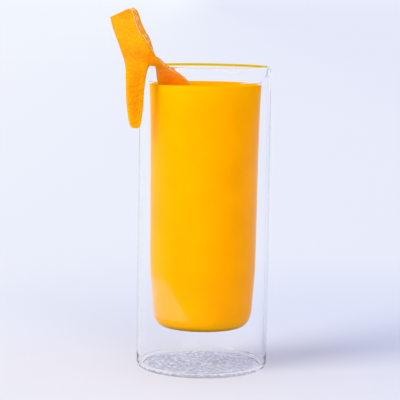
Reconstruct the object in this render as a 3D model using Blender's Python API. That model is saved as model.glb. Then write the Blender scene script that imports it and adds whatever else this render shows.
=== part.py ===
"""A tall straight double-walled glass filled with orange juice, with a slit strip of orange peel
hung over its rim.

The glass stands on its flat base at the origin, +Z up. Lengths below are in millimetres.
"""

import math

import bmesh
import bpy
from mathutils import Vector

MM = 0.001
SEGMENTS = 56

# Outer shell of the glass
HEIGHT = 156.0
FOOT_RADIUS = 33.75
MID_RADIUS = 33.85
MID_HEIGHT = 50.0
SHOULDER_RADIUS = 33.45
SHOULDER_HEIGHT = 150.5
OUTER_WALL = 1.8
FLOOR = 1.5
HEEL_RADIUS = 2.9
HEEL_STEPS = 4

# Rounded rim where both walls meet
RIM_OUTSIDE = ((33.45, 153.4), (33.4, 155.0), (33.0, 155.8), (32.3, 156.0))
RIM_INSIDE = ((31.6, 155.85), (31.1, 155.2), (30.95, 154.2), (30.95, 151.9), (30.3, 150.6), (28.5, 148.3))
RIM_GAP = ((31.8, 150.3), (31.7, 150.9), (31.5, 150.9), (31.2, 150.5), (29.8, 148.5))

# Inner cup
CUP_WALL = 1.15
CUP_BOTTOM = 20.4
CUP_DOME = 1.3
CUP_CORNER_ACROSS = 5.6
CUP_CORNER_HIGH = 10.6
CUP_CORNER_STEPS = 6
CUP_FOOT_RADIUS = 25.9
CUP_SIDES = ((27.2, 52.0), (27.5, 78.0), (27.75, 105.0), (28.1, 128.0), (28.4, 139.5), (28.9, 147.0))

# Vent through the floor into the space between the walls, and the plug in it
VENT_X = 17.0
VENT_Y = -22.0
VENT_RADIUS = 1.8
PLUG_RADIUS = 1.45
PLUG_LOW = 0.4
PLUG_SHOULDER = 1.8
PLUG_TOP = 2.9
PLUG_SEGMENTS = 24

# Juice
JUICE_LEVEL = 146.4
JUICE_GAP = 0.35
LEG_GAP = 0.85

# Peel: one strip, slit from its lower end, so that one leg hangs outside and one dips into the juice.
# Each station is the skin side's left edge, its right edge, and the thickness there.
PEEL_BODY = (
    ((-49.2, -5.5, 179.7), (-39.5, -16.5, 184.2), 3.4),
    ((-49.0, -5.8, 178.9), (-37.6, -18.0, 183.0), 4.8),
    ((-47.5, -7.5, 173.7), (-35.6, -19.5, 176.4), 5.6),
    ((-45.2, -9.5, 168.0), (-32.4, -21.0, 170.0), 5.7),
    ((-43.1, -12.5, 162.9), (-29.4, -22.0, 164.6), 4.8),
    ((-41.1, -17.0, 158.3), (-28.0, -22.0, 160.1), 3.6),
    ((-40.1, -21.0, 154.5), (-28.6, -21.3, 156.1), 3.2),
    ((-39.6, -22.3, 150.8), (-29.5, -20.6, 151.4), 3.0),
    ((-39.2, -22.2, 145.9), (-30.2, -19.4, 146.1), 3.0),
    ((-39.0, -21.4, 140.8), (-30.6, -18.5, 141.0), 2.9),
    ((-38.8, -20.3, 135.8), (-30.9, -17.9, 136.0), 2.8),
    ((-38.3, -19.2, 130.7), (-31.5, -17.4, 130.9), 2.6),
    ((-37.9, -18.4, 127.6), (-32.0, -17.1, 127.6), 2.5),
    ((-37.4, -17.8, 125.7), (-32.5, -17.0, 125.7), 2.2),
    ((-36.4, -17.4, 124.7), (-33.5, -17.1, 124.7), 1.6),
)
PEEL_INNER_LEG = (
    ((-41.3, -12.6, 165.2), (-31.9, -20.2, 172.0), 4.6),
    ((-37.0, -17.4, 160.4), (-28.6, -21.2, 167.3), 5.0),
    ((-32.6, -19.9, 157.6), (-25.9, -21.3, 163.7), 4.4),
    ((-28.7, -20.4, 156.2), (-23.2, -20.8, 160.4), 3.7),
    ((-26.4, -18.6, 156.5), (-21.1, -19.0, 158.0), 3.0),
    ((-25.2, -15.8, 155.3), (-20.3, -16.2, 155.6), 2.8),
    ((-24.8, -13.0, 152.4), (-17.2, -13.0, 153.7), 2.8),
    ((-23.8, -10.2, 147.5), (-12.7, -9.0, 151.2), 2.8),
    ((-21.0, -7.0, 142.3), (-8.5, -5.0, 147.5), 2.7),
    ((-15.7, -2.0, 137.5), (-4.8, 0.0, 143.2), 2.5),
    ((-10.1, 2.0, 134.8), (-2.4, 3.5, 139.5), 1.8),
)
PEEL_STEPS = 3
SKIN_BULGE = 0.35
# Corners of the strip's section: how far across, and how deep behind the skin side.
PEEL_SECTION = (
    (0.04, 0.02), (0.2, 0.0), (0.4, 0.0), (0.6, 0.0), (0.8, 0.0), (0.96, 0.02),
    (1.0, 0.14), (1.0, 0.36), (0.95, 0.5), (1.0, 0.64), (1.0, 0.88),
    (0.96, 1.0), (0.75, 1.0), (0.5, 1.0), (0.25, 1.0), (0.04, 1.0),
    (0.0, 0.85), (0.0, 0.5), (0.0, 0.15),
)

JUICE_COLOUR = (1.0, 0.49, 0.0)
PEEL_COLOUR = (0.95, 0.36, 0.01)
GLASS_COLOUR = (0.86, 0.88, 0.94)


def arc(centre, across, high, start, end, steps):
    """Points (radius, height) on an ellipse quarter, with both ends."""
    points = []
    for step in range(steps + 1):
        angle = math.radians(start + (end - start) * step / steps)
        r = centre[0] + across * math.cos(angle)
        z = centre[1] + high * math.sin(angle)
        points.append((r, z))
    return points


def cup_bottom(offset):
    """Bottom of the inner cup from its side down to the axis, moved inwards by offset."""
    corner_high = CUP_CORNER_HIGH - offset / 2
    corner_across = CUP_CORNER_ACROSS - offset / 2
    side = CUP_FOOT_RADIUS - offset
    low = CUP_BOTTOM + offset
    centre = (side - corner_across, low + CUP_DOME + corner_high)
    points = arc(centre, corner_across, corner_high, 0, -90, CUP_CORNER_STEPS)
    middle = centre[0] / 2
    points.append((middle, low + CUP_DOME / 4))
    points.append((0.0, low))
    return points


def cup_inside(offset):
    """Inside face of the inner cup below its rim, moved inwards by offset."""
    sides = [(r - CUP_WALL - offset, z) for r, z in reversed(CUP_SIDES)]
    return sides + cup_bottom(CUP_WALL + offset)


def shell_profile():
    """Outside of the glass and inside of its cup, from the axis below to the axis above."""
    heel_centre = (FOOT_RADIUS - HEEL_RADIUS, HEEL_RADIUS)
    points = [(0.0, 0.0), (FOOT_RADIUS * 0.5, 0.0)]
    points += arc(heel_centre, HEEL_RADIUS, HEEL_RADIUS, -90, 0, HEEL_STEPS)
    points += [(MID_RADIUS, MID_HEIGHT), (SHOULDER_RADIUS + 0.2, 100.0), (SHOULDER_RADIUS, SHOULDER_HEIGHT)]
    points += list(RIM_OUTSIDE) + list(RIM_INSIDE)
    points += cup_inside(0.0)
    return points


def gap_profile():
    """The space between the two walls, from the axis below to the axis above."""
    inside = FOOT_RADIUS - OUTER_WALL
    heel = HEEL_RADIUS - 0.5
    points = [(0.0, FLOOR), (inside * 0.5, FLOOR)]
    points += arc((inside - heel, FLOOR + heel), heel, heel, -90, 0, HEEL_STEPS)
    points += [(MID_RADIUS - OUTER_WALL, MID_HEIGHT), (SHOULDER_RADIUS + 0.2 - OUTER_WALL, 100.0)]
    points += [(SHOULDER_RADIUS - OUTER_WALL, SHOULDER_HEIGHT - 4.0)]
    points += list(RIM_GAP)
    points += list(reversed(CUP_SIDES))
    points += cup_bottom(0.0)
    return points


def juice_profile():
    """The juice, clear of the cup by JUICE_GAP, from the axis below to the axis above."""
    points = [(r, z) for r, z in reversed(cup_inside(JUICE_GAP)) if z < JUICE_LEVEL - 0.5]
    top = [r for r, z in CUP_SIDES if z > JUICE_LEVEL - 0.5][0]
    points.append((top - CUP_WALL - JUICE_GAP, JUICE_LEVEL))
    points.append((points[-1][0] * 0.5, JUICE_LEVEL))
    points.append((0.0, JUICE_LEVEL))
    return points


def lathe(name, profile, segments, centre=(0.0, 0.0)):
    """A closed solid turned from a profile whose first and last points lie on the axis."""
    mesh = bmesh.new()
    rings = []
    for r, z in profile:
        if r == 0.0:
            rings.append([mesh.verts.new((centre[0] * MM, centre[1] * MM, z * MM))])
            continue
        ring = []
        for segment in range(segments):
            turn = 2 * math.pi * segment / segments
            x = centre[0] + r * math.cos(turn)
            y = centre[1] + r * math.sin(turn)
            ring.append(mesh.verts.new((x * MM, y * MM, z * MM)))
        rings.append(ring)
    for low, high in zip(rings, rings[1:]):
        for i in range(segments):
            j = (i + 1) % segments
            corners = [low[i % len(low)], low[j % len(low)], high[j % len(high)], high[i % len(high)]]
            mesh.faces.new(dict.fromkeys(corners))
    return finish_object(name, mesh)


def finish_object(name, mesh):
    """Turns a closed bmesh into a smooth-shaded object whose faces point outwards."""
    bmesh.ops.recalc_face_normals(mesh, faces=mesh.faces)
    if mesh.calc_volume(signed=True) < 0:
        bmesh.ops.reverse_faces(mesh, faces=mesh.faces)
    data = bpy.data.meshes.new(name)
    mesh.to_mesh(data)
    mesh.free()
    data.shade_smooth()
    data.set_sharp_from_angle(angle=math.radians(35))
    built = bpy.data.objects.new(name, data)
    bpy.context.scene.collection.objects.link(built)
    return built


def curve_through(points, steps):
    """A smooth run of vectors through the given ones, with steps stretches between each two."""
    run = []
    last = len(points) - 1
    for i in range(last):
        before, start = points[max(i - 1, 0)], points[i]
        end, after = points[i + 1], points[min(i + 2, last)]
        for step in range(steps):
            t = step / steps
            run.append(
                0.5 * (2 * start + (end - before) * t
                       + (2 * before - 5 * start + 4 * end - after) * t * t
                       + (3 * start - before - 3 * end + after) * t ** 3)
            )
    run.append(points[last])
    return run


def peel_strip(name, stations, grow=0.0):
    """A strip of peel through the stations; grow makes it larger all round."""
    lefts = curve_through([Vector(left) for left, _, _ in stations], PEEL_STEPS)
    rights = curve_through([Vector(right) for _, right, _ in stations], PEEL_STEPS)
    depths = curve_through([Vector((thick, 0, 0)) for _, _, thick in stations], PEEL_STEPS)
    count = len(lefts)
    mesh = bmesh.new()
    rings = []
    for i in range(count):
        before, after = max(i - 1, 0), min(i + 1, count - 1)
        along = (lefts[after] + rights[after] - lefts[before] - rights[before]).normalized()
        across = (rights[i] - lefts[i]).normalized()
        back = across.cross(along).normalized()
        end = (i == count - 1) - (i == 0)
        start = lefts[i] - across * grow - back * grow + along * grow * end
        width = (rights[i] - lefts[i]).length + 2 * grow
        depth = depths[i].x + 2 * grow
        ring = []
        for s, t in PEEL_SECTION:
            bulge = SKIN_BULGE * (4 * s * (1 - s)) * (1 - t)
            place = start + across * (width * s) + back * (depth * t - bulge)
            ring.append(mesh.verts.new(place * MM))
        rings.append(ring)
    corners = len(PEEL_SECTION)
    for first, second in zip(rings, rings[1:]):
        for i in range(corners):
            j = (i + 1) % corners
            mesh.faces.new((first[i], first[j], second[j], second[i]))
    mesh.faces.new(rings[0])
    mesh.faces.new(rings[-1])
    return finish_object(name, mesh)


def boolean(target, other, operation):
    """Joins or cuts target with other, which stays as a hidden helper."""
    step = target.modifiers.new(other.name, "BOOLEAN")
    step.operation = operation
    step.object = other
    step.solver = "EXACT"
    other.hide_render = True
    other.display_type = "WIRE"


def material(name, colour, roughness, alpha=1.0):
    """A plain Principled material."""
    made = bpy.data.materials.new(name)
    made.use_nodes = True
    shader = made.node_tree.nodes["Principled BSDF"]
    shader.inputs["Base Color"].default_value = (*colour, 1.0)
    shader.inputs["Roughness"].default_value = roughness
    shader.inputs["Metallic"].default_value = 0.0
    shader.inputs["Alpha"].default_value = alpha
    return made


def clear_scene():
    for old in list(bpy.data.objects):
        bpy.data.objects.remove(old)


def build():
    clear_scene()

    glass = lathe("glass", shell_profile(), SEGMENTS)
    boolean(glass, lathe("wall_gap", gap_profile(), SEGMENTS), "DIFFERENCE")
    vent = [(0.0, -2.0), (VENT_RADIUS, -2.0), (VENT_RADIUS, FLOOR + 2.0), (0.0, FLOOR + 2.0)]
    boolean(glass, lathe("vent_hole", vent, PLUG_SEGMENTS, (VENT_X, VENT_Y)), "DIFFERENCE")
    glass.data.materials.append(material("glass", GLASS_COLOUR, 0.05, 0.35))

    dome = arc((0.0, PLUG_SHOULDER), PLUG_RADIUS, PLUG_TOP - PLUG_SHOULDER, 0, 90, 4)
    plug = [(0.0, PLUG_LOW), (PLUG_RADIUS, PLUG_LOW)] + dome[:-1] + [(0.0, PLUG_TOP)]
    vent_plug = lathe("vent_plug", plug, PLUG_SEGMENTS, (VENT_X, VENT_Y))
    vent_plug.data.materials.append(material("vent_plug", GLASS_COLOUR, 0.2, 0.6))

    juice = lathe("juice", juice_profile(), SEGMENTS)
    boolean(juice, peel_strip("leg_clearance", PEEL_INNER_LEG, LEG_GAP), "DIFFERENCE")
    juice.data.materials.append(material("juice", JUICE_COLOUR, 0.3))

    peel = peel_strip("peel", PEEL_BODY)
    boolean(peel, peel_strip("inner_leg", PEEL_INNER_LEG), "UNION")
    peel.data.materials.append(material("peel", PEEL_COLOUR, 0.45))


build()
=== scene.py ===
"""Looks for a double-walled glass of orange juice with a strip of peel over its rim. Metres, +Z up."""

import math

import bmesh
import bpy
from mathutils import Matrix, Vector, noise


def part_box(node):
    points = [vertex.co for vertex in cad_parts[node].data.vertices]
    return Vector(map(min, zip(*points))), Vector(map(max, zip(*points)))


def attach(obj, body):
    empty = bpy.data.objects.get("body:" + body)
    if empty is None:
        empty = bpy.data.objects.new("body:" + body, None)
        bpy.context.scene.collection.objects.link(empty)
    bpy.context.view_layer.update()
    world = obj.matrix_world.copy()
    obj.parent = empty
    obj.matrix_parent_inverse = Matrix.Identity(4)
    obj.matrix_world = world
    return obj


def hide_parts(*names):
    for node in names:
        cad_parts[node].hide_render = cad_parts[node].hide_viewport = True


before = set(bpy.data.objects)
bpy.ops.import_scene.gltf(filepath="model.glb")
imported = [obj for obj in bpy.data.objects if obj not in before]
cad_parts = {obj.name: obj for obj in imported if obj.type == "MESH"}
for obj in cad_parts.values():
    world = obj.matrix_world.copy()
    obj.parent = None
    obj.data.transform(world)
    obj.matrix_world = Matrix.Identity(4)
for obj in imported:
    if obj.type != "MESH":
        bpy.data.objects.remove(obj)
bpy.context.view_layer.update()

MM = 0.001
TURNS = 192

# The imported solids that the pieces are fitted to, in millimetres
GLASS_HIGH = [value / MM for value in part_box("glass")[1]]
JUICE_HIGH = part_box("juice")[1][2] / MM
PEEL_LOW, PEEL_HIGH = [[value / MM for value in corner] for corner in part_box("peel")]
HEIGHT = GLASS_HIGH[2]
RADIUS = GLASS_HIGH[0]
INSIDE_BOX = 0.02

# Outer wall of the glass, in millimetres
FOOT_RADIUS = RADIUS - 0.1
SHOULDER_RADIUS = RADIUS - 0.4
WIDEST_HEIGHT = 50.0
TAPER_HEIGHT = 100.0
TAPER_RADIUS = SHOULDER_RADIUS + 0.2
OUTER_WALL = 1.8
FLOOR = 1.5
HEEL = 2.9
HEEL_STEPS = 12
HEEL_END = 4.0
WALL_STEPS = 6
RIM_OUTSIDE = ((33.45, 153.4), (33.4, 155.0), (33.0, 155.8), (32.3, 156.0))
RIM_INSIDE = ((31.6, 155.85), (31.1, 155.2), (30.95, 154.2), (30.95, 151.9), (30.3, 150.6), (28.5, 148.3))
RIM_GAP = ((31.8, 150.3), (31.7, 150.9), (31.5, 150.9), (31.2, 150.5), (29.8, 148.5))

# Materials of the glass: their places in its list, and where each begins
BASE, WALL, CUP, RIM, LIP = range(5)
WALL_LOW = 8.0
WALL_HIGH = 151.2
LIP_LOW = 154.6
LIP_MIDDLE = 32.3
CUP_WIDEST = 30.0

# How much each part of the glass bends light, least at the rim
GLASS_INDEX = 1.47
BASE_INDEX = 1.35
WALL_INDEX = 1.25
CUP_INDEX = 1.13
LIP_INDEX = 1.035
RIM_INDEX = 1.03
RIM_TOP_INDEX = 1.05

# Inner cup
CUP_WALL = 1.15
CUP_BOTTOM = 20.4
CUP_DOME = 1.3
CORNER_ACROSS = 5.6
CORNER_HIGH = 10.6
CUP_FOOT = 25.9
CUP_SIDES = ((27.2, 52.0), (27.5, 78.0), (27.75, 105.0), (28.1, 128.0), (28.4, 139.5), (28.9, 147.0))
CORNER_STEPS = 14
DOME_STEPS = 8
CUP_SIDE_STEPS = 5

# Juice
JUICE_INTO_WALL = 0.12
MENISCUS = 0.25
MENISCUS_FALL = 0.9
MENISCUS_REACH = 4.0
MENISCUS_STEPS = 8
JUICE_INDEX = 1.34

# Peel stations: the skin side's left edge, its right edge, and the thickness there
PEEL_BODY = (
    ((-49.2, -5.5, 179.7), (-39.5, -16.5, 184.2), 3.4),
    ((-49.0, -5.8, 178.9), (-37.6, -18.0, 183.0), 4.8),
    ((-47.5, -7.5, 173.7), (-35.6, -19.5, 176.4), 5.6),
    ((-45.2, -9.5, 168.0), (-32.4, -21.0, 170.0), 5.7),
    ((-43.1, -12.5, 162.9), (-29.4, -22.0, 164.6), 4.8),
    ((-41.1, -17.0, 158.3), (-28.0, -22.0, 160.1), 3.6),
    ((-40.1, -21.0, 154.5), (-28.6, -21.3, 156.1), 3.2),
    ((-39.6, -22.3, 150.8), (-29.5, -20.6, 151.4), 3.0),
    ((-39.2, -22.2, 145.9), (-30.2, -19.4, 146.1), 3.0),
    ((-39.0, -21.4, 140.8), (-30.6, -18.5, 141.0), 2.9),
    ((-38.8, -20.3, 135.8), (-30.9, -17.9, 136.0), 2.8),
    ((-38.3, -19.2, 130.7), (-31.5, -17.4, 130.9), 2.6),
    ((-37.9, -18.4, 127.6), (-32.0, -17.1, 127.6), 2.5),
    ((-37.4, -17.8, 125.7), (-32.5, -17.0, 125.7), 2.2),
    ((-36.4, -17.4, 124.7), (-33.5, -17.1, 124.7), 1.6),
)
PEEL_LEG = (
    ((-41.2, -13.4, 165.2), (-32.2, -21.3, 172.0), 5.0),
    ((-36.9, -18.6, 160.4), (-29.4, -22.1, 167.3), 5.4),
    ((-32.5, -21.0, 157.6), (-26.9, -22.2, 163.9), 4.8),
    ((-28.8, -20.8, 156.2), (-24.1, -21.0, 159.9), 3.6),
    ((-26.5, -18.8, 156.2), (-22.0, -19.0, 157.4), 2.9),
    ((-25.2, -15.8, 154.7), (-20.0, -16.2, 155.1), 2.6),
    ((-24.7, -13.0, 151.9), (-16.7, -13.0, 153.3), 2.5),
    ((-23.8, -10.2, 147.2), (-12.4, -9.0, 150.9), 2.5),
    ((-21.0, -7.0, 142.1), (-8.3, -5.0, 147.3), 2.7),
    ((-15.7, -2.0, 137.5), (-4.8, 0.0, 143.2), 2.5),
    ((-10.1, 2.0, 134.8), (-2.4, 3.5, 139.5), 1.8),
)
PEEL_STEPS = 8
WEB = (154.0, 167.5)
SKIN_BULGE = 0.35
UNEVEN = 0.16
UNEVEN_SCALE = 0.35
EVEN_ABOVE = 184.0
EVEN_OVER = 6.0
CUT_EDGE = 0.9
BACK_LAYER = 1.0

# Colours of the peel: along its height, partly its own tone and partly painted light; painted shade and
# highlight across the leg; and from the skin to the pith on the cut edge
PEEL_TONE_AND_PAINTED_LIGHT = (
    (0.0, (0.92, 0.40, 0.0)), (0.1, (0.93, 0.345, 0.0)), (0.35, (0.93, 0.325, 0.0)),
    (0.5, (0.92, 0.29, 0.0)), (0.6, (0.84, 0.235, 0.0)), (0.75, (0.77, 0.335, 0.001)),
    (0.88, (0.76, 0.31, 0.001)), (1.0, (0.75, 0.245, 0.0)),
)
PEEL_PAINTED_LIGHT_ACROSS = (
    (0.0, (0.97, 1.10, 1)), (0.14, (1, 1.06, 1)), (0.35, (1, 0.92, 1)),
    (0.6, (1, 0.90, 1)), (0.78, (0.98, 1.14, 1)), (1.0, (0.97, 1.12, 1)),
)
CUT_LAYERS = (
    (0.1, (0.90, 0.36, 0.01)), (0.19, (0.98, 0.68, 0.34)), (0.26, (0.88, 0.28, 0.02)),
    (0.40, (0.88, 0.29, 0.012)), (0.46, (0.98, 0.70, 0.36)), (0.53, (0.86, 0.34, 0.02)),
    (0.8, (0.82, 0.35, 0.008)), (0.97, (0.95, 0.60, 0.25)),
)
RAGGED = 0.30

# Pattern on the glass's floor
PATTERN_RINGS = 60
PATTERN_INSET = 3.4
PATTERN_LOW = 0.35
PATTERN_EDGE = 0.1
PATTERN_SCALE = 0.55
CELL_HEIGHT = 0.34
CELL_LIMIT = 0.9
ROUGH_HEIGHT = 0.08
ROUGH_SCALE = 0.9

# Studio: the floor is flat as far as its reach and then sweeps up; metres and degrees
FLOOR_REACH = 40.0
FLOOR_SWEEP = 20.0
FLOOR_RISE = 4.0
FLOOR_BELOW = 0.0003
FLOOR_SEGMENTS = 96
SUN_ANGLE = 35

# Camera: the photograph's own angle, from 860 mm in front and a little above the rim
CAMERA_PLACE = (-0.0019, -0.860, 0.189)
CAMERA_PITCH = math.radians(6.776)
CAMERA_ROLL = math.radians(0.865)
CAMERA_LENS = 151.16


def link(name, mesh, sharp=40):
    """A smooth-shaded object from a closed bmesh, faces outwards."""
    data = bpy.data.meshes.new(name)
    mesh.to_mesh(data)
    mesh.free()
    data.shade_smooth()
    data.set_sharp_from_angle(angle=math.radians(sharp))
    made = bpy.data.objects.new(name, data)
    bpy.context.scene.collection.objects.link(made)
    return made


def arc(centre, across, high, start, end, steps):
    """Points (radius, height) on a stretch of an ellipse, with both ends."""
    points = []
    for step in range(steps + 1):
        angle = math.radians(start + (end - start) * step / steps)
        points.append((centre[0] + across * math.cos(angle), centre[1] + high * math.sin(angle)))
    return points


def spline(points, steps):
    """A smooth run through the given vectors, with steps stretches between each two."""
    points = [Vector(point) for point in points]
    run = []
    last = len(points) - 1
    for i in range(last):
        before, start = points[max(i - 1, 0)], points[i]
        end, after = points[i + 1], points[min(i + 2, last)]
        for step in range(steps):
            t = step / steps
            run.append(
                0.5 * (2 * start + (end - before) * t
                       + (2 * before - 5 * start + 4 * end - after) * t * t
                       + (3 * start - before - 3 * end + after) * t ** 3)
            )
    run.append(points[last])
    return run


def turned(mesh, profile, inwards=False, centre=(0.0, 0.0), segments=TURNS):
    """Adds a closed shell turned from a profile that starts and ends on the axis."""
    rings = []
    for r, z in profile:
        if r < 1e-6:
            rings.append([mesh.verts.new((centre[0] * MM, centre[1] * MM, z * MM))])
            continue
        ring = []
        for segment in range(segments):
            turn = 2 * math.pi * segment / segments
            x = centre[0] + r * math.cos(turn)
            y = centre[1] + r * math.sin(turn)
            ring.append(mesh.verts.new((x * MM, y * MM, z * MM)))
        rings.append(ring)
    for low, high in zip(rings, rings[1:]):
        for i in range(segments):
            j = (i + 1) % segments
            corners = [low[i % len(low)], low[j % len(low)], high[j % len(high)], high[i % len(high)]]
            corners = list(dict.fromkeys(corners))
            if inwards:
                corners.reverse()
            mesh.faces.new(corners)


def cup_bottom(offset):
    """Bottom of the inner cup from its side down to the axis, moved inwards by offset."""
    high = CORNER_HIGH - offset / 2
    across = CORNER_ACROSS - offset / 2
    side = CUP_FOOT - offset
    low = CUP_BOTTOM + offset
    centre = (side - across, low + CUP_DOME + high)
    points = arc(centre, across, high, 0, -90, CORNER_STEPS)
    for step in range(1, DOME_STEPS):
        r = centre[0] * (1 - step / DOME_STEPS)
        points.append((r, low + CUP_DOME * (r / centre[0]) ** 2))
    points.append((0.0, low))
    return points


def cup_side(offset, above):
    """Side of the inner cup from the points above it down to its corner, moved inwards by offset."""
    run = list(above) + [(r - offset, z) for r, z in reversed(CUP_SIDES)]
    run.append(cup_bottom(offset)[0])
    return [tuple(point) for point in spline(run, CUP_SIDE_STEPS)][:-1]


def shell_profile():
    """Outside of the glass and inside of its cup."""
    points = [(0.0, 0.0), (FOOT_RADIUS * 0.4, 0.0), (FOOT_RADIUS * 0.8, 0.0)]
    points += arc((FOOT_RADIUS - HEEL, HEEL), HEEL, HEEL, -90, 0, HEEL_STEPS)[:-1]
    wall = [(FOOT_RADIUS, HEEL), (FOOT_RADIUS, HEEL + HEEL_END), (RADIUS, WIDEST_HEIGHT)]
    wall += [(TAPER_RADIUS, TAPER_HEIGHT), (SHOULDER_RADIUS, HEIGHT - 5.5)] + list(RIM_OUTSIDE)
    points += [tuple(point) for point in spline(wall, WALL_STEPS)][:-1]
    points += cup_side(CUP_WALL, RIM_OUTSIDE[-1:] + RIM_INSIDE)
    points += cup_bottom(CUP_WALL)
    return points


def gap_profile():
    """The closed space between the two walls."""
    inside = FOOT_RADIUS - OUTER_WALL
    heel = HEEL - 0.5
    points = [(0.0, FLOOR), (inside * 0.4, FLOOR), (inside * 0.8, FLOOR)]
    points += arc((inside - heel, FLOOR + heel), heel, heel, -90, 0, HEEL_STEPS)[:-1]
    wall = [(inside, FLOOR + heel), (inside, FLOOR + heel + HEEL_END), (RADIUS - OUTER_WALL, WIDEST_HEIGHT)]
    wall += [(TAPER_RADIUS - OUTER_WALL, TAPER_HEIGHT), (SHOULDER_RADIUS - OUTER_WALL, HEIGHT - 9.5)]
    wall.append(RIM_GAP[0])
    points += [tuple(point) for point in spline(wall, WALL_STEPS)][:-1]
    points += cup_side(0.0, RIM_GAP)
    points += cup_bottom(0.0)
    return points


def make_glass():
    """Both walls in one piece, each face with the material of its part of the glass."""
    mesh = bmesh.new()
    turned(mesh, shell_profile())
    turned(mesh, gap_profile(), inwards=True)
    for face in mesh.faces:
        middle = face.calc_center_median() / MM
        away = math.hypot(middle.x, middle.y)
        if middle.z > WALL_HIGH:
            face.material_index = LIP if middle.z > LIP_LOW and away < LIP_MIDDLE else RIM
        elif away < CUP_WIDEST and middle.z > CUP_BOTTOM - 1:
            face.material_index = CUP
        else:
            face.material_index = WALL if middle.z > WALL_LOW else BASE
    return link("glass_fine", mesh)


def make_juice():
    """Juice that reaches just into the wall, with a small meniscus where it meets it."""
    offset = CUP_WALL - JUICE_INTO_WALL
    profile = list(reversed(cup_bottom(offset)))
    for r, z in reversed(cup_side(offset, ())):
        if z < JUICE_HIGH - 0.4:
            profile.append((r, z))
    edge = profile[-1][0]
    for step in range(MENISCUS_STEPS + 1):
        away = step / MENISCUS_STEPS * MENISCUS_REACH
        profile.append((edge + 0.05 - away, JUICE_HIGH + MENISCUS * math.exp(-away / MENISCUS_FALL)))
    profile.append((edge * 0.5, JUICE_HIGH))
    profile.append((0.0, JUICE_HIGH))
    mesh = bmesh.new()
    turned(mesh, profile)
    return link("juice_fine", mesh, 60)


def make_base_texture():
    """The hammered pattern in the glass's floor, as a thin uneven disc."""
    mesh = bmesh.new()
    radius = FOOT_RADIUS - PATTERN_INSET
    rings = [[mesh.verts.new((0, 0, PATTERN_LOW * MM))]]
    for ring in range(1, PATTERN_RINGS + 1):
        r = radius * ring / PATTERN_RINGS
        verts = []
        for segment in range(TURNS):
            turn = 2 * math.pi * segment / TURNS
            place = Vector((r * math.cos(turn), r * math.sin(turn), 0))
            cells = noise.voronoi(place * PATTERN_SCALE)[0][0]
            rough = noise.noise(place * ROUGH_SCALE)
            high = PATTERN_LOW + CELL_HEIGHT * min(cells, CELL_LIMIT) + ROUGH_HEIGHT * rough
            verts.append(mesh.verts.new((place.x * MM, place.y * MM, high * MM)))
        rings.append(verts)
    under = (PATTERN_LOW - PATTERN_EDGE) * MM
    edge = [mesh.verts.new((vert.co.x, vert.co.y, under)) for vert in rings[-1]]
    rings.append(edge)
    for low, high in zip(rings, rings[1:]):
        for i in range(TURNS):
            j = (i + 1) % TURNS
            corners = [low[i % len(low)], low[j % len(low)], high[j % len(high)], high[i % len(high)]]
            mesh.faces.new(list(dict.fromkeys(corners)))
    mesh.faces.new(edge)
    bmesh.ops.recalc_face_normals(mesh, faces=mesh.faces)
    return link("base_texture", mesh, 60)


def section():
    """Corners of the strip's section: how far across, and how deep behind the skin side."""
    points = [(0.02, 0.07), (0.05, 0.015)]
    points += [(0.1 + 0.8 * i / 10, 0.0) for i in range(11)]
    points += [(0.95, 0.015), (0.98, 0.07)]
    points += [(1.0, 0.2), (1.0, 0.36), (0.965, 0.43), (0.94, 0.5)]
    points += [(0.965, 0.57), (1.0, 0.64), (1.0, 0.8)]
    points += [(0.985, 0.94), (0.95, 0.99)]
    points += [(0.9 - 0.8 * i / 8, 1.0) for i in range(9)]
    points += [(0.05, 0.99), (0.015, 0.94), (0.0, 0.8), (0.0, 0.5), (0.0, 0.2)]
    return points


def layer_of(s, t):
    """What a point of the section shows: 0 skin, 0.1 to 0.8 the cut edge by its depth, 1 the pith side."""
    if s > CUT_EDGE and 0.1 < t < 0.97:
        return 0.1 + 0.7 * t
    if t > 0.97 and 0.03 < s < 0.97:
        return BACK_LAYER
    return 0.0


def add_strip(mesh, stations, layers, sides, seed, web=None):
    """Adds one strip of peel, its skin a little uneven.

    Each point stores what it shows and how far across it is. Between the two heights of web, the
    strip's right side goes over into the other strip's skin.
    """
    lefts = spline([left for left, _, _ in stations], PEEL_STEPS)
    rights = spline([right for _, right, _ in stations], PEEL_STEPS)
    depths = spline([(thick, 0.0) for _, _, thick in stations], PEEL_STEPS)
    corners = section()
    count = len(lefts)
    rings = []
    for i in range(count):
        before, after = max(i - 1, 0), min(i + 1, count - 1)
        along = (lefts[after] + rights[after] - lefts[before] - rights[before]).normalized()
        across = rights[i] - lefts[i]
        back = across.cross(along).normalized()
        ring = []
        for s, t in corners:
            bulge = SKIN_BULGE * (4 * s * (1 - s)) * (1 - t)
            place = lefts[i] + across * s + back * (depths[i].x * t - bulge)
            wave = noise.noise(place * UNEVEN_SCALE + Vector((seed, 0, 0)))
            wave *= min(1.0, (EVEN_ABOVE - place.z) / EVEN_OVER)
            place += back * (UNEVEN * wave) * (0.3 + 0.7 * (1 - abs(2 * s - 1)))
            place.x = max(place.x, PEEL_LOW[0] + INSIDE_BOX)
            place.z = min(place.z, PEEL_HIGH[2] - INSIDE_BOX)
            vert = mesh.verts.new(place * MM)
            in_web = web and s > CUT_EDGE and web[0] < place.z < web[1]
            vert[layers] = 0.0 if in_web else layer_of(s, t)
            vert[sides] = s
            ring.append(vert)
        rings.append(ring)
    total = len(corners)
    for first, second in zip(rings, rings[1:]):
        for i in range(total):
            j = (i + 1) % total
            mesh.faces.new((first[i], first[j], second[j], second[i]))
    for ring in (rings[0], rings[-1]):
        mesh.faces.new(ring)


def make_peel():
    """The slit strip: its body with the outer leg, and the inner leg."""
    mesh = bmesh.new()
    layer = mesh.verts.layers.float.new("layer")
    side = mesh.verts.layers.float.new("side")
    add_strip(mesh, PEEL_BODY, layer, side, 3.0, WEB)
    add_strip(mesh, PEEL_LEG, layer, side, 9.0)
    bmesh.ops.recalc_face_normals(mesh, faces=mesh.faces)
    return link("peel_fine", mesh, 50)


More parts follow.
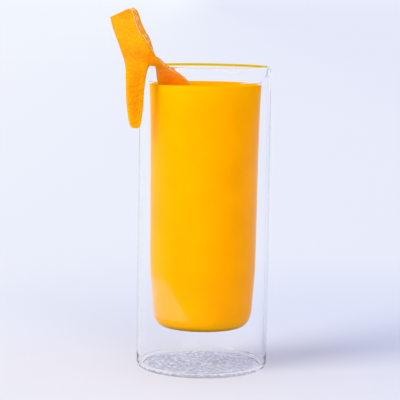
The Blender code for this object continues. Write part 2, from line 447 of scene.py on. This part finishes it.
def node_material(name):
    made = bpy.data.materials.new(name)
    made.use_nodes = True
    tree = made.node_tree
    return made, tree, tree.nodes["Principled BSDF"], tree.nodes["Material Output"]


def ramp(tree, source, stops):
    """A colour ramp on a value socket."""
    node = tree.nodes.new("ShaderNodeValToRGB")
    node.color_ramp.elements[0].position = stops[0][0]
    node.color_ramp.elements[0].color = (*stops[0][1], 1)
    node.color_ramp.elements[1].position = stops[-1][0]
    node.color_ramp.elements[1].color = (*stops[-1][1], 1)
    for place, colour in stops[1:-1]:
        node.color_ramp.elements.new(place).color = (*colour, 1)
    tree.links.new(source, node.inputs["Fac"])
    return node.outputs["Color"]


def object_place(tree):
    """Where a point is in the object's own frame."""
    return tree.nodes.new("ShaderNodeTexCoord").outputs["Object"]


def split_place(tree):
    """The X, Y and Z sockets of a point in the object's own frame."""
    split = tree.nodes.new("ShaderNodeSeparateXYZ")
    tree.links.new(object_place(tree), split.inputs["Vector"])
    return split.outputs


def noise_node(tree, scale, detail):
    node = tree.nodes.new("ShaderNodeTexNoise")
    node.inputs["Scale"].default_value = scale
    node.inputs["Detail"].default_value = detail
    tree.links.new(object_place(tree), node.inputs["Vector"])
    return node.outputs["Fac"]


def math_node(tree, operation, *values):
    """A Math node; each value is a socket or a number."""
    node = tree.nodes.new("ShaderNodeMath")
    node.operation = operation
    for place, value in enumerate(values):
        if isinstance(value, float):
            node.inputs[place].default_value = value
        else:
            tree.links.new(value, node.inputs[place])
    return node.outputs["Value"]


def mapped(tree, value, low, high, first=0.0, second=1.0, interpolation="SMOOTHSTEP"):
    """A value that goes from first where the socket is low to second where it is high."""
    node = tree.nodes.new("ShaderNodeMapRange")
    node.interpolation_type = interpolation
    node.inputs["From Min"].default_value = low
    node.inputs["From Max"].default_value = high
    node.inputs["To Min"].default_value = first
    node.inputs["To Max"].default_value = second
    tree.links.new(value, node.inputs["Value"])
    return node.outputs["Result"]


def by_height(tree, low, high, first, second):
    """A value that goes smoothly from first at the height low to second at the height high."""
    return mapped(tree, split_place(tree)["Z"], low, high, first, second)


def mixed(tree, factor, first, second):
    """A colour that goes from first to second with a factor socket; each is a socket or a colour."""
    mix = tree.nodes.new("ShaderNodeMix")
    mix.data_type = "RGBA"
    tree.links.new(factor, mix.inputs["Factor"])
    for name, value in (("A", first), ("B", second)):
        if isinstance(value, tuple):
            mix.inputs[name].default_value = (*value, 1)
        else:
            tree.links.new(value, mix.inputs[name])
    return mix.outputs["Result"]


def times(tree, first, second, factor=1.0):
    """The product of two colour sockets."""
    mix = tree.nodes.new("ShaderNodeMix")
    mix.data_type = "RGBA"
    mix.blend_type = "MULTIPLY"
    mix.inputs["Factor"].default_value = factor
    tree.links.new(first, mix.inputs["A"])
    tree.links.new(second, mix.inputs["B"])
    return mix.outputs["Result"]


def lets_lamps_through(tree, shader, output):
    """Mixes in a Transparent shader for shadow and diffuse rays, so that light passes the glass."""
    path = tree.nodes.new("ShaderNodeLightPath")
    clear = tree.nodes.new("ShaderNodeBsdfTransparent")
    mix = tree.nodes.new("ShaderNodeMixShader")
    either = math_node(tree, "MAXIMUM", path.outputs["Is Shadow Ray"], path.outputs["Is Diffuse Ray"])
    tree.links.new(either, mix.inputs["Fac"])
    tree.links.new(shader.outputs["BSDF"], mix.inputs[1])
    tree.links.new(clear.outputs["BSDF"], mix.inputs[2])
    tree.links.new(mix.outputs["Shader"], output.inputs["Surface"])


def glass_material(name, mirror=1.0, index=GLASS_INDEX):
    made, tree, shader, output = node_material(name)
    shader.inputs["Base Color"].default_value = (1, 1, 1, 1)
    shader.inputs["Roughness"].default_value = 0.0
    shader.inputs["IOR"].default_value = index
    shader.inputs["Transmission Weight"].default_value = 1.0
    shader.inputs["Specular Tint"].default_value = (mirror, mirror, mirror, 1)
    lets_lamps_through(tree, shader, output)
    return made, tree, shader


def base_material():
    """Floor and heel of the glass, which bend light less where the wall begins."""
    made, tree, shader = glass_material("glass_base_look")
    tree.links.new(by_height(tree, 0.003, 0.008, BASE_INDEX, WALL_INDEX), shader.inputs["IOR"])
    return made


def wall_material():
    """Outer wall, which bends light less towards the rim."""
    made, tree, shader = glass_material("glass_wall_look", mirror=0.05)
    tree.links.new(by_height(tree, 0.090, 0.151, WALL_INDEX, RIM_INDEX), shader.inputs["IOR"])
    return made


def cup_material():
    """Glass round the juice, which mirrors more near its bottom, with a painted reflection: more coat in a
    soft patch at its lower front left.
    """
    made, tree, shader = glass_material("glass_cup_look")
    tree.links.new(by_height(tree, 0.110, 0.151, CUP_INDEX, RIM_INDEX), shader.inputs["IOR"])
    tint = ramp(tree, by_height(tree, 0.026, 0.062, 0.0, 1.0), [(0.0, (1, 1, 1)), (1.0, (0, 0, 0))])
    tree.links.new(tint, shader.inputs["Specular Tint"])
    # Painted reflection: coat only in a soft patch low on the front left of the cup.
    place = split_place(tree)
    slant = math_node(tree, "MULTIPLY_ADD", place["Z"], 0.61, place["X"])
    patch = mapped(tree, slant, 0.0094, 0.0118, 1.0, 0.0)
    for value, low, high, first, second in ((place["Z"], 0.043, 0.052, 1.0, 0.0),
                                            (place["Z"], 0.0265, 0.0285, 0.0, 1.0),
                                            (place["Y"], -0.004, 0.002, 1.0, 0.0)):
        patch = math_node(tree, "MULTIPLY", patch, mapped(tree, value, low, high, first, second))
    tree.links.new(patch, shader.inputs["Coat Weight"])
    shader.inputs["Coat IOR"].default_value = 1.6
    return made


def rim_material():
    """Rounded rim, which bends light a little more at its very top."""
    made, tree, shader = glass_material("glass_rim_look")
    tree.links.new(by_height(tree, 0.1538, 0.1553, RIM_INDEX, RIM_TOP_INDEX), shader.inputs["IOR"])
    shader.inputs["Coat Weight"].default_value = 0.15
    return made


def lip_material():
    """Inner side of the lip, which takes the juice's colour where it is looked at from the air: painted
    light, an amber line that stands in for the juice seen in the rim.
    """
    made, tree, shader = glass_material("glass_lip_look", index=LIP_INDEX)
    side = tree.nodes.new("ShaderNodeNewGeometry")
    # Painted light: amber on front faces, standing in for the juice seen through the rim.
    tint = mixed(tree, side.outputs["Backfacing"], (0.93, 0.36, 0.0), (1.0, 1.0, 1.0))
    tree.links.new(tint, shader.inputs["Base Color"])
    return made


def juice_material():
    """Juice, a little yellower near its top, painted light that stands in for light entering through its
    surface, and a little yellower near its bottom.
    """
    made, tree, shader, _ = node_material("juice_look")
    cloud = noise_node(tree, 60.0, 4.0)
    colour = ramp(tree, cloud, [(0.3, (0.93, 0.335, 0.0)), (0.7, (1.0, 0.375, 0.0))])
    high = by_height(tree, 0.128, 0.1464, 0.0, 1.0)
    low = by_height(tree, 0.0204, 0.031, 0.0, 1.0)
    # Painted light: yellower towards the top, as if lit through the surface.
    colour = times(tree, colour, ramp(tree, high, [(0.0, (1, 1, 1)), (1.0, (1, 1.12, 1))]))
    colour = times(tree, colour, ramp(tree, low, [(0.0, (1, 1.25, 1)), (1.0, (1, 1, 1))]))
    tree.links.new(colour, shader.inputs["Base Color"])
    shader.inputs["Roughness"].default_value = 0.25
    shader.inputs["IOR"].default_value = JUICE_INDEX
    shader.inputs["Specular IOR Level"].default_value = 0.0
    return made


def attribute(tree, name):
    """The value that the mesh stores under a name."""
    node = tree.nodes.new("ShaderNodeAttribute")
    node.attribute_name = name
    return node.outputs["Fac"]


def skin_colour(tree, pores):
    """Outer skin: its tone by height, partly painted light, painted shade and highlight in bands along the
    leg, cloudy patches and a dot in each pore.
    """
    height = mapped(tree, split_place(tree)["Z"], 0.125, 0.186, interpolation="LINEAR")
    # Tone by height, partly painted light: the lower leg lighter, to make up for the light its faces turn
    # from.
    base = ramp(tree, height, PEEL_TONE_AND_PAINTED_LIGHT)
    even = ramp(tree, height, [(0.45, (0, 0, 0)), (0.7, (1, 1, 1))])
    # Painted light across the leg: yellower towards its edges and deeper orange in its middle, as light
    # falls on its curve.
    painted_light_across = ramp(tree, attribute(tree, "side"), PEEL_PAINTED_LIGHT_ACROSS)
    base = times(tree, base, mixed(tree, even, painted_light_across, (1.0, 1.0, 1.0)))
    patch = ramp(tree, noise_node(tree, 260.0, 5.0), [(0.38, (0, 0, 0)), (0.62, (1, 1, 1))])
    darker = mixed(tree, patch, (0.85, 0.78, 0.7), (1.05, 1.12, 1.0))
    dots = ramp(tree, pores, [(0.1, (0.96, 0.90, 0.85)), (0.55, (1.02, 1.03, 1.0))])
    return times(tree, times(tree, base, darker, 0.35), dots)


def cut_colour(tree, layer):
    """Cut edge from the skin to the pith, with ragged borders between its layers."""
    ragged = math_node(tree, "MULTIPLY_ADD", noise_node(tree, 420.0, 4.0), RAGGED, layer)
    return ramp(tree, math_node(tree, "SUBTRACT", ragged, RAGGED / 2), CUT_LAYERS)


def peel_material():
    """Peel: pored skin outside, and the colours of the cut where the section shows them."""
    made, tree, shader, _ = node_material("peel_look")
    pores = tree.nodes.new("ShaderNodeTexVoronoi")
    pores.inputs["Scale"].default_value = 750.0
    tree.links.new(object_place(tree), pores.inputs["Vector"])
    layer = attribute(tree, "layer")
    shows = ramp(tree, layer, [(0.1, (0, 0, 0)), (0.16, (1, 1, 1))])
    colour = mixed(tree, shows, skin_colour(tree, pores.outputs["Distance"]), cut_colour(tree, layer))
    tree.links.new(colour, shader.inputs["Base Color"])
    bump = tree.nodes.new("ShaderNodeBump")
    bump.inputs["Strength"].default_value = 0.55
    bump.inputs["Distance"].default_value = 0.0006
    tree.links.new(pores.outputs["Distance"], bump.inputs["Height"])
    tree.links.new(bump.outputs["Normal"], shader.inputs["Normal"])
    shader.inputs["Roughness"].default_value = 0.45
    shader.inputs["Specular IOR Level"].default_value = 0.04
    return made


def base_texture_material():
    """Mottled glass of the hammered pattern, grey-blue with pale streaks: painted shade in its darker spots
    and painted highlights in its pale streaks.
    """
    made, tree, shader, output = node_material("base_texture_look")
    patch = noise_node(tree, 620.0, 4.0)
    # Painted light: dark blue-grey spots as painted shade, pale streaks as painted highlights.
    tones = [(0.34, (0.30, 0.31, 0.46)), (0.5, (0.46, 0.47, 0.62)), (0.64, (0.85, 0.86, 0.93))]
    colour = ramp(tree, patch, tones)
    tree.links.new(colour, shader.inputs["Base Color"])
    shader.inputs["Roughness"].default_value = 0.22
    shader.inputs["Transmission Weight"].default_value = 0.2
    shader.inputs["IOR"].default_value = GLASS_INDEX
    lets_lamps_through(tree, shader, output)
    return made


def floor_material():
    """Pale floor with painted shade, a little darker to the right, and a painted shadow close behind the
    glass at its right.
    """
    made, tree, shader, _ = node_material("studio_floor_look")
    patch = noise_node(tree, 0.8, 2.0)
    colour = ramp(tree, patch, [(0.2, (0.765, 0.775, 0.77)), (0.8, (0.775, 0.785, 0.78))])
    # Painted shade: the floor darker towards the right.
    side = mapped(tree, split_place(tree)["X"], -0.8, 0.7)
    # Painted shadow: darker close round a point behind the glass at its right.
    away = tree.nodes.new("ShaderNodeVectorMath")
    away.operation = "DISTANCE"
    away.inputs[1].default_value = (0.12, 0.12, 0.0)
    tree.links.new(object_place(tree), away.inputs[0])
    near = mapped(tree, away.outputs["Value"], 0.02, 0.34)
    shade = ramp(tree, side, [(0.0, (0.96, 0.965, 0.99)), (1.0, (0.85, 0.86, 0.96))])
    shade_near = ramp(tree, near, [(0.0, (0.90, 0.91, 1.0)), (1.0, (1, 1, 1))])
    tree.links.new(times(tree, times(tree, colour, shade), shade_near), shader.inputs["Base Color"])
    shader.inputs["Roughness"].default_value = 0.9
    shader.inputs["Specular IOR Level"].default_value = 0.0
    return made


def make_floor():
    """A wide pale floor that sweeps up a little far away."""
    mesh = bmesh.new()
    profile = [(r, 0.0) for r in (0.0, 1.0, 8.0, FLOOR_REACH)]
    for degrees in (20, 40, 60, 90):
        turn = math.radians(degrees)
        profile.append((FLOOR_REACH + FLOOR_SWEEP * math.sin(turn), FLOOR_RISE * (1 - math.cos(turn))))
    turned(mesh, [(r / MM, z / MM) for r, z in profile], segments=FLOOR_SEGMENTS)
    made = link("studio_floor", mesh)
    made.location.z = -FLOOR_BELOW
    made.data.materials.append(floor_material())


def sun(name, towards, strength, colour):
    """A wide soft sun in the given direction, seen from the part."""
    data = bpy.data.lights.new(name, "SUN")
    data.energy = strength
    data.angle = math.radians(SUN_ANGLE)
    data.color = colour
    lamp = bpy.data.objects.new(name, data)
    lamp.rotation_euler = Vector(towards).to_track_quat("Z", "Y").to_euler()
    bpy.context.scene.collection.objects.link(lamp)


def make_lights():
    world = bpy.data.worlds.new("studio_world")
    bpy.context.scene.world = world
    world.use_nodes = True
    background = world.node_tree.nodes["Background"]
    background.inputs["Color"].default_value = (0.80, 0.83, 1.0, 1)
    background.inputs["Strength"].default_value = 0.90
    sun("key_sun", (-0.80, -0.50, 0.55), 2.4, (1.0, 0.98, 0.80))
    sun("fill_sun", (0.35, -0.90, 0.40), 0.7, (1.0, 0.98, 0.85))


def make_camera():
    data = bpy.data.cameras.new("camera")
    data.lens = CAMERA_LENS
    data.sensor_width = 36.0
    data.clip_end = 200.0
    camera = bpy.data.objects.new("camera", data)
    camera.location = CAMERA_PLACE
    camera.rotation_mode = "XYZ"
    aim = Vector((0, math.cos(CAMERA_PITCH), -math.sin(CAMERA_PITCH)))
    tilt = aim.to_track_quat("-Z", "Y").to_matrix()
    camera.rotation_euler = (tilt @ Matrix.Rotation(CAMERA_ROLL, 3, "Z")).to_euler()
    bpy.context.scene.collection.objects.link(camera)
    bpy.context.scene.camera = camera


def dress(piece, looks, node):
    """Gives a piece its materials, and hands it to the frame."""
    for look in looks:
        piece.data.materials.append(look)
    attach(piece, "root")
    if node:
        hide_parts(node)


make_floor()
make_lights()
make_camera()
looks = [base_material(), wall_material(), cup_material(), rim_material(), lip_material()]
dress(make_glass(), looks, "glass")
dress(make_juice(), [juice_material()], "juice")
dress(make_peel(), [peel_material()], "peel")
dress(make_base_texture(), [base_texture_material()], None)
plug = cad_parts["vent_plug"]
plug.data.materials.clear()
plug.data.materials.append(glass_material("plug_look")[0])

scene = bpy.context.scene
scene.view_settings.view_transform = "Standard"
